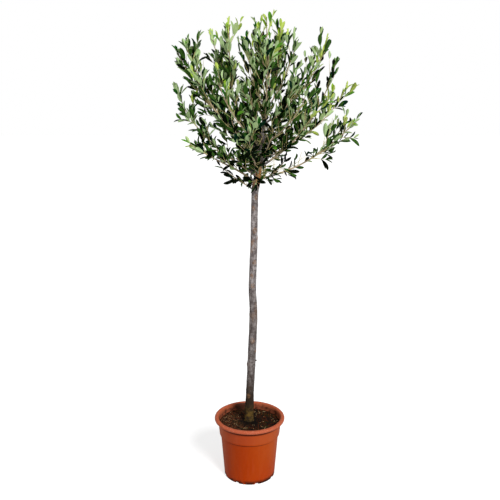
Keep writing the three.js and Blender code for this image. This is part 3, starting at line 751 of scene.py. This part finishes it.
forkShoots = {  # short shoots where the limbs part
    "tries": 420, "heights": (1.29, 1.5), "rise": (0.2, 0.5), "length": (35, 85), "radii": (1.15, 0.55),
    "bare": 0.15,
}
crown = {
    "top": 1926, "leafOut": 73.7, "roomBetween": 2.5, "roomRoundLimbs": 4, "middle": (0.06, 0.0, 1.53),
    "halfSize": (0.37, 0.34, 0.40), "heart": (0.05, 0.0, 1.42),
}
leafLooks = {
    "length": (38, 56), "width": 0.325, "thickness": 0.6, "gap": 26, "tipAngle": 15, "angle": 36, "endAngle": 13,
    "lowSpread": 14, "missing": 0.25, "fold": 0.3, "curl": 0.16, "roll": 32, "turnToLight": 0.5, "lift": 0.9,
    "upright": 0.56, "twist": 0.4, "nearWood": 1,
    "high": ((1.34, 0), (1.62, 1)),  # low leaves spread, high ones stand up
    "topGaps": ((1.56, 0), (1.72, 0.22)), "lengthAlong": ((0, 0.8), (0.25, 1), (0.7, 1), (1, 0.68)),
    # painted light and shade on the leaf colours: the side table makes sprays on the left darker and on the right
    # lighter, the height table beside it sets how much, and the table after the fresh top makes sprays low down and
    # near the top darker
    "sideLightAndShade": ((-0.25, -0.16), (0.0, 0.03), (0.16, 0.08)), "sideLightByHeight": ((1.36, 0.3), (1.52, 1)),
    "freshTop": ((1.8, 0), (1.88, 0.5)), "shadeByHeight": ((1.36, 0.17), (1.48, -0.03), (1.64, -0.03), (1.76, 0.26)),
    "open": {"low_right": 0.32, "fork_right": 0.3, "right_front": 0.24, "left_front": -0.18, "low_left": -0.12,
             "top_right": 0.1},  # more or fewer leaves missing there
    "shares": (0.52, 0.95, 1.11, 1.31),  # the value at which the next colour starts: the darkest class is painted shade, the others get younger in turn
}
leafColours = [  # name, colour, roughness; the first five are upper sides, the others undersides
    ("leafShade", linear(5, 15, 1), 0.5), ("leafOld", linear(5, 41, 24), 0.46),
    ("leafGreen", linear(32, 93, 22), 0.46), ("leafFresh", linear(88, 142, 40), 0.48),
    ("leafTip", linear(148, 186, 54), 0.5),
    ("underShade", linear(62, 100, 36), 0.78), ("underOld", linear(188, 216, 154), 0.75),
    ("underGreen", linear(194, 220, 150), 0.7), ("underTip", linear(200, 222, 106), 0.62),
]
underOf = (5, 6, 6, 7, 8)


def roomTest(grown):  # tells which points lie in a mass's own space and clear of bare wood
    owners = list(dict.fromkeys(limb["owner"] for limb in grown.values()))
    axis = trunk.at(np.arange(121) / 120)
    stems, stemOwner, wood, woodRadius = [], [], [axis], [trunkRadius(axis[:, 2])]
    for limb in grown.values():
        shares = np.arange(41) / 40
        leafy = limb["path"].at(shares[shares >= limb["bareShare"]])
        stems.append(leafy)
        stemOwner.append(np.full(len(leafy), owners.index(limb["owner"])))
        if limb["bare"] >= 1:
            shares = np.arange(25) / 24 * limb["bareShare"]
            wood.append(limb["path"].at(shares))
            woodRadius.append(limbRadius(limb, shares))
    stems, stemOwner, wood, woodRadius = map(np.concatenate, (stems, stemOwner, wood, woodRadius))

    def hasRoom(owner, points, nearWood=crown["roomRoundLimbs"]):
        apart = np.linalg.norm(points[:, None] - stems[None], axis=2)
        isOwn = stemOwner == owners.index(owner)
        own, others = np.where(isOwn, apart, 9).min(axis=1), np.where(isOwn, 9, apart).min(axis=1)
        woodApart = (np.linalg.norm(points[:, None] - wood[None], axis=2) - woodRadius).min(axis=1)
        inSpace = others >= own + crown["roomBetween"] * mm
        return inSpace & (woodApart > nearWood * mm) & (points[:, 2] < crown["top"] * mm)

    return owners, hasRoom


def roomAlong(hasRoom, owner, base, way, size, first, count):  # the share of a shoot's length that has room
    free = hasRoom(owner, base + way * (np.arange(first, count + 1)[:, None] / count * size * mm))
    return 1.0 if free.all() else (first - 1 + int(np.argmin(free))) / count


def wayOut(path, share, turn, angle):
    tangent, side, back = (row[0] for row in path.directions(share))
    out = side * math.cos(turn) + back * math.sin(turn)
    return out, tangent * math.cos(angle) + out * math.sin(angle)


def shootRow(owner, path, radii, bare, fresh, kind=1):
    return {"owner": owner, "path": path, "radii": np.array(radii), "bare": bare, "fresh": fresh, "kind": kind}


def straightShoot(looks, owner, base, way, size, fresh):
    path = Path(base + way * (np.linspace(0, 1, 5)[:, None] * size * mm), unit(np.cross(way, upward)))
    return shootRow(owner, path, np.array(looks["radii"]) * mm, looks["bare"], fresh)


def growAlong(looks, parent, shares, low, hasRoom, chance):  # straight shoots at these shares of a parent's length
    rows, path, owner = [], parent["path"], parent["owner"]
    for share in shares:
        turn, angle = chance.uniform(0, math.tau), math.radians(chance.uniform(*looks["angle"]))
        way = unit(wayOut(path, share, turn, angle)[1] + upward * (looks["light"] - looks["hang"] * low))
        size, base = chance.uniform(*looks["length"]) * (1 - looks["shorter"] * max(share, low)), path.at(share)[0]
        size *= roomAlong(hasRoom, owner, base, way, size, looks["roomFrom"], 8)
        if size >= looks["shortest"]:
            fresh = share if parent["kind"] == 0 else parent["fresh"]
            rows.append(straightShoot(looks, owner, base, way, size, fresh))
    return rows


def growSideShoots(limb, random, chance, hasRoom):  # one stem with the solids' own side shoots, and twigs on them
    s, path, owner = shoots, limb["path"], limb["owner"]
    start = 0 if limb["fork"] else limb["bareShare"]
    end = 1 - crown["leafOut"] * mm / path.length
    stem = path.part(start, end, 80)
    radii = (limbRadius(limb, start), limbRadius(limb, end))
    longer = path.part(start, 1 - s["leafyTip"] * (1 - end), 90)  # real leaves are shorter than the solids'
    bare = between(stem.at(0)[0][2], *s["stemBare"])
    rows = [shootRow(owner, longer, (radii[0], radii[1] * s["stemTip"]), bare, 0.5, kind=0)]
    count = round(stem.length / mm / s["gap"])
    for i in range(count):
        along = (i + 0.6) / count
        reach = s["longest"] * (1 - s["shorterAtTip"] * along) * (1 - s["uneven"] * next(random))
        quarter = s["order"][i % 4] + 0.5 + s["sway"] * (next(random) - 0.5)
        foot = stem.at(along)[0]
        way = wayOut(stem, along, quarter * math.pi / 2, math.radians(s["angle"]))[1]
        way = unit(way + upward * s["light"])
        length = roomAlong(hasRoom, owner, foot, way, reach, 2, 16) * reach
        if length < s["shortest"]:
            continue
        sideways = unit(np.cross(way, upward))
        t = np.linspace(0, 1, 9)[:, None]
        bend = sideways * chance.normal(0, s["sideBend"]) + upward * chance.uniform(*s["droop"])
        line = foot + (way * t + bend * (t ** 2 - t)) * length * mm
        root = min(s["radius"], s["thinner"] * between(along, (0, radii[0]), (1, radii[1])) / mm)
        shoot = shootRow(owner, Path(line, sideways), (root * mm, s["tip"] * mm), s["bare"], along)
        rows.append(shoot)
        if length < twiglets["onShootFrom"]:
            continue
        if foot[2] > twiglets["openFrom"] and chance.uniform() < twiglets["openShare"]:
            continue
        total, start, over = int(length * twiglets["reach"] / twiglets["gap"]), twiglets["from"], twiglets["over"]
        shares = (start + over * (j + chance.uniform(0.1, 0.9)) / total for j in range(total))
        rows += growAlong(twiglets, shoot, shares, 0, hasRoom, chance)
    return rows


def growBetween(stem, hasRoom, chance):
    s = betweenShoots
    low = between(stem["path"].at(0)[0][2], *s["low"])
    inner = chance.uniform(size=round(stem["path"].length / mm / (s["lowGap"] if low > 0 else s["gap"])))
    return growAlong(s, stem, np.sort(inner ** 2) * s["over"] + s["from"], low, hasRoom, chance)


def growForkShoots(owners, hasRoom, chance):
    s, rows = forkShoots, []
    for _ in range(s["tries"]):
        height, out = chance.uniform(*s["heights"]), level(chance.uniform(0, math.tau))
        base = trunkAt(height) + out * (trunkRadius(height) - mm)
        way, size = unit(out + upward * chance.normal(*s["rise"])), chance.uniform(*s["length"])
        owner = next((each for each in owners if roomAlong(hasRoom, each, base, way, size, 2, 8) == 1), None)
        if owner:
            rows.append(straightShoot(s, owner, base, way, size, 0.0))
    return rows


def growTwigs(grown):  # the solids' own stems and side shoots, then finer twigs on them
    owners, hasRoom = roomTest(grown)
    chance = np.random.default_rng(31)
    twigs = []
    for number, owner in enumerate(owners):
        random = seededNumbers(shoots["seed"] + 37 * (number + 1))
        for limb in [limb for limb in grown.values() if limb["owner"] == owner]:
            twigs += growSideShoots(limb, random, chance, hasRoom)
    for stem in [twig for twig in twigs if twig["kind"] == 0]:
        twigs += growBetween(stem, hasRoom, chance)
    return twigs + growForkShoots(owners, hasRoom, chance), hasRoom


def buildTwigs(twigs):
    parts = []
    for twig in twigs:
        sides = 8 if twig["kind"] == 0 else 5
        steps = max(3, round(twig["path"].length / 0.014))
        share = np.linspace(0, 1, steps + 1)
        _, side, back = twig["path"].directions(share)
        turns = np.arange(sides) / sides * math.tau
        radius = np.interp(share, (0, 1), twig["radii"])[:, None, None]
        ring = side[:, None] * np.cos(turns)[None, :, None] - back[:, None] * np.sin(turns)[None, :, None]
        places = (twig["path"].at(share)[:, None] + ring * radius).reshape(-1, 3)
        faces = []
        for start, k in product(range(0, steps * sides, sides), range(sides)):
            a, b = start + k, start + (k + 1) % sides
            faces.append((a, b, b + sides, a + sides))
        faces += [tuple(reversed(range(sides))), tuple(range(steps * sides, (steps + 1) * sides))]
        parts.append((places, faces, [twig["kind"]] * len(faces)))
    looks = [plainMaterial("twigGrey", linear(190, 170, 140), 0.8, 0.2),
             plainMaterial("twigYoung", linear(204, 192, 132), 0.7, 0.2)]
    return joinedMesh("twigs", parts, looks, 60)


def leafTemplate():  # one leaf, 1 long and 1 wide, as a thin lens with a raised midrib on both sides
    stations = [(0, 0), (0.08, 0.24), (0.25, 0.68), (0.47, 0.97), (0.69, 0.97), (0.88, 0.64), (1, 0)]
    bm = bmesh.new()
    bmesh.ops.create_grid(bm, x_segments=6, y_segments=2, size=1)
    for vertex in bm.verts:
        along, width = stations[round((vertex.co.x + 1) * 3)]
        middle = abs(vertex.co.y) < 0.01 and 0 < along < 1
        vertex.co = (along, vertex.co.y * width / 2, 1.0 if middle else 0.0)
    bmesh.ops.remove_doubles(bm, verts=bm.verts[:], dist=1e-5)
    bmesh.ops.mirror(bm, geom=bm.verts[:] + bm.edges[:] + bm.faces[:], axis="Z", merge_dist=1e-4)
    bmesh.ops.recalc_face_normals(bm, faces=bm.faces[:])
    bm.verts.index_update()
    places, faces = rowsFrom(bm)
    isUnder = [f.normal.z <= 0 for f in bm.faces]
    bm.free()
    return places, faces, isUnder


def sprayYouthAndLight(tip, fresh, high, chance):  # how young and how lit a spray's leaves look: younger high up and outside; darker deep inside the crown, low down, near the top and on the left as painted shade; lighter on the right, in the sun, as painted light
    s = leafLooks
    outer = np.linalg.norm((tip - np.array(crown["middle"])) / np.array(crown["halfSize"]))
    youthAndLight = tip[2] - 1.32 + 0.5 * outer + 0.18 * fresh - 0.08 + chance.normal(0, 0.2 + 0.12 * high)
    # painted light and shade: lighter on the right and darker on the left, more so higher up; darker low down and
    # near the top
    youthAndLight += between(tip[0], *s["sideLightAndShade"]) * between(tip[2], *s["sideLightByHeight"])
    return youthAndLight + between(tip[2], *s["freshTop"]) - between(tip[2], *s["shadeByHeight"])


def growLeaves(twigs, hasRoom):
    s = leafLooks
    chance = np.random.default_rng(78)
    leaves = []
    for twig in twigs:
        path, owner, leafyShare = twig["path"], twig["owner"], 1 - twig["bare"]
        tip = path.at(1)[0]
        high = between(tip[2], *s["high"])
        youthAndLight = sprayYouthAndLight(tip, twig["fresh"], high, chance)
        pairs = max(2, round(path.length * leafyShare / mm / s["gap"]))
        turnStart = chance.uniform(0, math.tau)
        gaps = s["missing"] + between(tip[2], *s["topGaps"]) + s["open"].get(owner, 0)
        for i, leftOrRight in product(range(pairs + 1), (0, 1)):
            atTip, along = i == pairs, i / pairs
            share = min(twig["bare"] + leafyShare * (i + 0.3) / pairs, 1.0)
            if chance.uniform() < gaps * (1.6 - along) and not atTip:
                continue
            turn = turnStart + i * math.pi / 2 + leftOrRight * math.pi + chance.normal(0, s["twist"])
            spread = between(along, (0, s["angle"]), (0.75, s["angle"] * 0.8), (1, s["tipAngle"]))
            spread = s["endAngle"] if atTip else spread + s["lowSpread"] * (1 - high)
            out, way = wayOut(path, share, turn, math.radians(spread + chance.normal(0, 9)))
            way = unit(way + upward * (chance.normal(0.5 * high, 0.5) * s["upright"]))
            length = chance.uniform(*s["length"]) * between(along, *s["lengthAlong"])
            colour = youthAndLight + 0.5 * (along - 0.55) + 0.24 - abs(chance.normal(0, 0.4))
            kind = int(np.searchsorted(s["shares"], colour))
            roll, curl = chance.normal(0, s["roll"]), chance.uniform(-0.3, 1.0) * s["curl"]
            leaves.append((owner, path.at(share)[0], way, out, length * mm, kind, roll, curl))
    kept = []
    for owner in dict.fromkeys(leaf[0] for leaf in leaves):
        own = [leaf for leaf in leaves if leaf[0] == owner]
        roots, ways, lengths = (np.array([leaf[k] for leaf in own]) for k in (1, 2, 4))
        free = np.ones(len(own), bool)
        for part in (0.6, 1.0):
            free &= hasRoom(owner, roots + ways * lengths[:, None] * part, nearWood=s["nearWood"])
        kept += [leaf for leaf, ok in zip(own, free) if ok]
    return kept


def buildLeaves(leaves):
    s = leafLooks
    template, faces, isUnder = leafTemplate()
    roots, ways, outs, lengths, kinds, rolls, curls = (np.array([leaf[k] for leaf in leaves]) for k in range(1, 8))
    lengths, curls, rolls = lengths[:, None], curls[:, None], np.radians(rolls)[:, None]
    toLight = unit(roots - np.array(crown["heart"])) + upward * s["lift"]  # upper sides turn outwards and up
    facing = unit(np.cross(ways, np.cross(outs, ways)) * -1) * (1 - s["turnToLight"]) + toLight * s["turnToLight"]
    upper = unit(facing - ways * (facing * ways).sum(axis=1, keepdims=True))
    across = np.cross(upper, ways)
    across, upper = across * np.cos(rolls) + upper * np.sin(rolls), upper * np.cos(rolls) - across * np.sin(rolls)
    along = template[None, :, 0]
    widths = s["width"] * lengths * np.random.default_rng(5).uniform(0.85, 1.15, (len(leaves), 1))
    x, y = along * lengths, template[None, :, 1] * widths
    z = template[None, :, 2] * s["thickness"] / 2 * mm
    z = z + np.abs(y) * s["fold"] * 2 - curls * lengths * along ** 2
    places = roots[:, None] + sum(way[:, None] * far[..., None] for way, far in ((ways, x), (across, y), (upper, z)))
    parts = [(spots, faces, [underOf[kind] if under else kind for under in isUnder])
             for spots, kind in zip(places, kinds)]
    looks = [plainMaterial(name, colour, roughness, 0.05) for name, colour, roughness in leafColours]
    return joinedMesh("leaves", parts, looks, 50)


pot = buildPot(potMaterial())
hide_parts("pot")
print("pot made")

fill = buildCompost(compostMaterial())
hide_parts("compost")
scatterBits()
print("compost made")

oldBark, youngBark = barkMaterial("barkOld", False), barkMaterial("barkYoung", True)
stem = buildTrunk(oldBark)
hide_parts("trunk")
grown = growLimbs()
for limb in grown.values():
    if limb["bare"] >= 1:
        bough = buildBough(limb, youngBark)
        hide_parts("bough_" + limb["name"])
print("trunk and boughs made")

twigRows, hasRoom = growTwigs(grown)
twigPiece = buildTwigs(twigRows)
leafRows = growLeaves(twigRows, hasRoom)
leafPiece = buildLeaves(leafRows)
masses = ["foliage_" + owner for owner in dict.fromkeys(limb["owner"] for limb in grown.values())]
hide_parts(*masses)
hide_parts(*masses)
print("twigs", len(twigRows), "leaves", len(leafRows), "faces", len(leafPiece.data.polygons))


studio = {
    "floor": linear(205, 205, 205), "floorHalf": 30, "floorGlow": 0.66, "world": 0.24,
    "lens": 48.3, "sensor": 36, "pitch": 12.37, "place": (0.0018, -2.67, 1.58),
    "lights": [  # name, kind, place, target, angle or width, power
        ("keyLight", "SUN", (1.7, -2.9, 2.5), (0, 0, 0), 20, 2.95),
        ("fillLight", "AREA", (-2.6, -2.4, 2.2), (0.05, 0, 1.3), 2.6, 26),
        ("backLight", "AREA", (-0.8, 2.8, 3.6), (0.05, 0, 1.3), 2.2, 12)],
}


def seenOrLighting(tree, lighting, seen):  # one strength as light on things, another as seen by the camera
    rays = addNode(tree, "LightPath").outputs["Is Camera Ray"]
    return addNode(tree, "MapRange", {0: rays, 3: lighting, 4: seen}).outputs[0]


def buildFloor():
    bm = bmesh.new()
    bmesh.ops.create_grid(bm, x_segments=2, y_segments=2, size=studio["floorHalf"])
    floor = newObject("floor", meshFrom("floor", bm))
    pale = plainMaterial("paleFloor", studio["floor"], 0.9, 0.1)
    glow = seenOrLighting(pale.node_tree, 0.0, studio["floorGlow"])
    feed(pale.node_tree, pale.node_tree.nodes["Principled BSDF"], {
        "Emission Color": (1, 1, 1, 1), "Emission Strength": glow})
    floor.data.materials.append(pale)


def addLight(name, kind, place, target, size, power):
    lamp = bpy.data.lights.new(name, kind)
    lamp.energy = power
    if kind == "SUN":
        lamp.angle = math.radians(size)
    else:
        lamp.shape, lamp.size = "DISK", size
    holder = newObject(name, lamp)
    holder.location = place
    holder.rotation_euler = (Vector(target) - Vector(place)).to_track_quat("-Z", "Y").to_euler()


buildFloor()
for light in studio["lights"]:
    addLight(*light)
world = bpy.data.worlds.new("paleStudio")
world.use_nodes = True
feed(world.node_tree, world.node_tree.nodes["Background"], {
    0: (1, 1, 1, 1), 1: seenOrLighting(world.node_tree, studio["world"], 1.0)})
bpy.context.scene.world = world

camera = bpy.data.cameras.new("camera")
camera.lens, camera.sensor_width, camera.clip_start = studio["lens"], studio["sensor"], 0.05
cameraObject = newObject("camera", camera)
cameraObject.location = studio["place"]
cameraObject.rotation_euler = (math.radians(90 - studio["pitch"]), 0, 0)
bpy.context.scene.camera = cameraObject
bpy.context.scene.view_settings.view_transform = "Standard"
